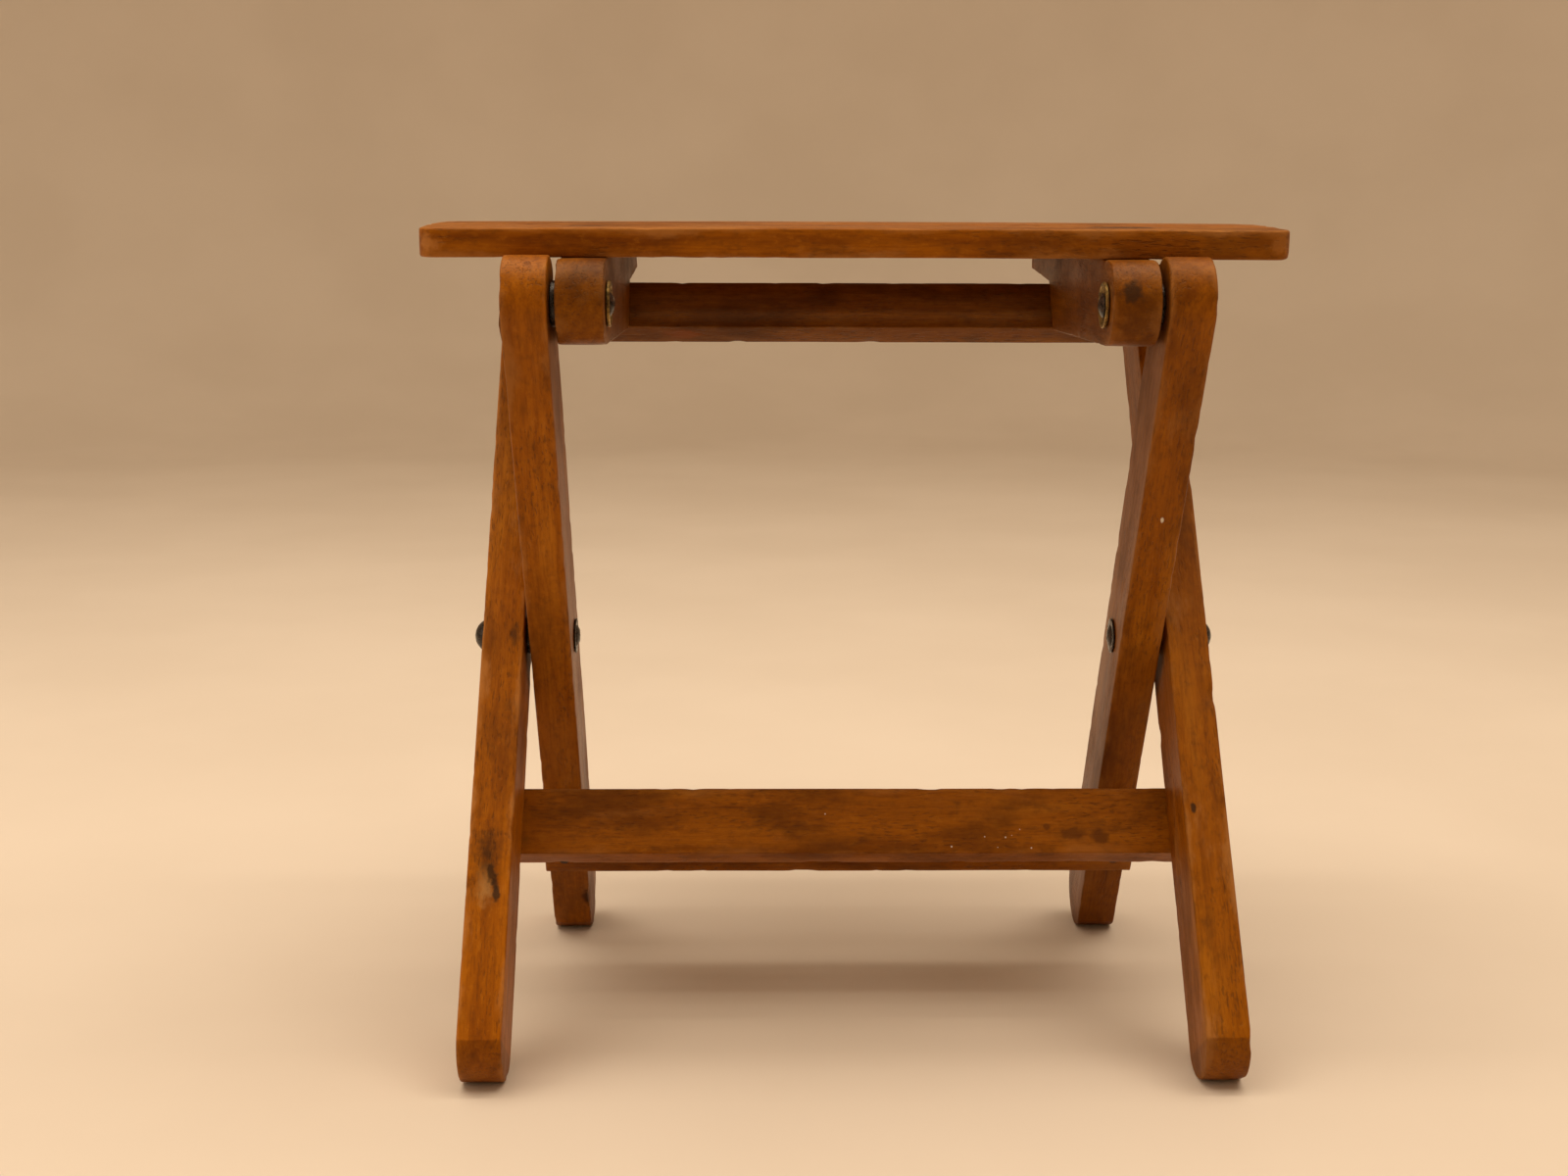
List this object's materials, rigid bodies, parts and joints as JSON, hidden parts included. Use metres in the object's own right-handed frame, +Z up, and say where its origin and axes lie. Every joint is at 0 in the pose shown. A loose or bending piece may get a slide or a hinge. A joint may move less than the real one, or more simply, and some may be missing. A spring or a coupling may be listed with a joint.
{
  "type": "folding stool",
  "caption": "Low folding stool of varnished wood: crossed leg frames on rivets, a slatted seat hinged on the inner frame and notched over a rail on the outer frame.",
  "frame": {"origin": "on the floor, at the middle of the width and of the depth", "axes": "X across the stool along the slats, +Y from the front to the back, +Z up"},
  "size_m": [0.38, 0.2804, 0.3782],
  "materials": {
    "frame_wood": "aged varnish, worn on the edges",
    "seat_wood": "aged varnish, worn on top",
    "dark_steel": "darkened steel",
    "brass": "tarnished brass"
  },
  "bodies": {
    "inner_frame": {"inner_leg_left": "frame_wood", "inner_leg_right": "frame_wood", "rear_stretcher": "frame_wood", "rear_stretcher_nails": "dark_steel"},
    "outer_frame": {"outer_leg_left": "frame_wood", "outer_leg_right": "frame_wood", "front_stretcher": "frame_wood", "rear_rail": "frame_wood", "front_stretcher_nails": "dark_steel", "rail_nails": "dark_steel", "cross_rivet_left": "dark_steel", "cross_rivet_right": "dark_steel", "leg_washers": "dark_steel", "end_washers": "dark_steel"},
    "seat_pins": {"seat_rivet_left": "dark_steel", "seat_rivet_right": "dark_steel", "spacer_washers": "dark_steel", "brass_washers": "brass"},
    "seat": {"bearer_left": "frame_wood", "bearer_right": "frame_wood", "slat_1": "seat_wood", "slat_2": "seat_wood", "slat_3": "seat_wood", "slat_4": "seat_wood", "slat_5": "seat_wood", "slat_6": "seat_wood", "slat_nails": "dark_steel"}
  },
  "joints": [
    {"name": "frame_fold", "type": "hinge", "parent": "inner_frame", "child": "outer_frame", "pos_m": [0, -0.00509, 0.1785], "axis": [-1, 0, 0], "range_deg": [0, 114.5]},
    {"name": "seat_follow", "type": "hinge", "parent": "inner_frame", "child": "seat_pins", "pos_m": [0, -0.09575, 0.34205], "axis": [-1, 0, 0], "range_deg": [0, 60.74]},
    {"name": "seat_lift", "type": "hinge", "parent": "seat_pins", "child": "seat", "pos_m": [0, -0.09575, 0.34205], "axis": [1, 0, 0], "range_deg": [0, 50]}
  ],
  "couplings": [
    {"joint": "seat_follow", "follows": "frame_fold", "ratio": 0.53043}
  ]
}
